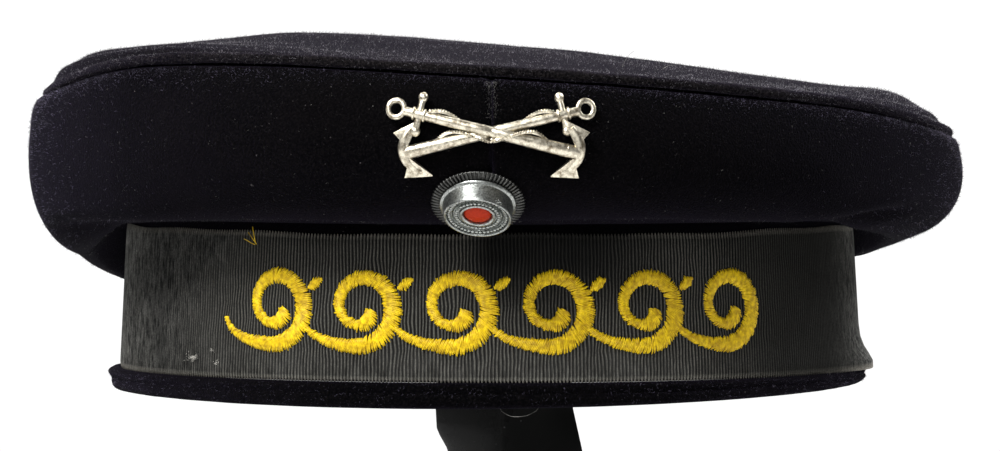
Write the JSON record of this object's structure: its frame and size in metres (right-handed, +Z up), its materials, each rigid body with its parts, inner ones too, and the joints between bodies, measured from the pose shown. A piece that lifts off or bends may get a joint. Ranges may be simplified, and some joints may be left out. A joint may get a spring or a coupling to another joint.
{
  "type": "sailor cap on a display stand",
  "caption": "Soft dark sailor cap with a leaning saucer crown, corded welt, upright band, ribbon, crossed anchor badge and round cockade, held up on a plain moulded stand.",
  "frame": {"origin": "middle of the stand's underside", "axes": "+Z up, -Y towards the cap's front, +X towards the right of the front view"},
  "size_m": [0.238, 0.2462, 0.1807],
  "materials": {
    "navy_wool": "matt, fuzzy",
    "black_grosgrain": "satin, ribbed",
    "aged_nickel": "worn satin",
    "dark_ribbed_metal": "dull",
    "dull_zinc": "satin",
    "red_enamel": "satin",
    "black_plastic": "glossy"
  },
  "bodies": {
    "root": {"crown_top": "navy_wool", "top_welt": "navy_wool", "crown_side_front_right": "navy_wool", "crown_side_back_right": "navy_wool", "crown_side_back_left": "navy_wool", "crown_side_front_left": "navy_wool", "band": "navy_wool", "band_hem": "navy_wool", "tally_ribbon": "black_grosgrain", "anchor_badge": "aged_nickel", "cockade_plate": "dark_ribbed_metal", "cockade_cup": "dull_zinc", "cockade_centre": "red_enamel", "stand_base": "black_plastic", "stand_post": "black_plastic", "stand_head": "black_plastic"}
  },
  "joints": []
}
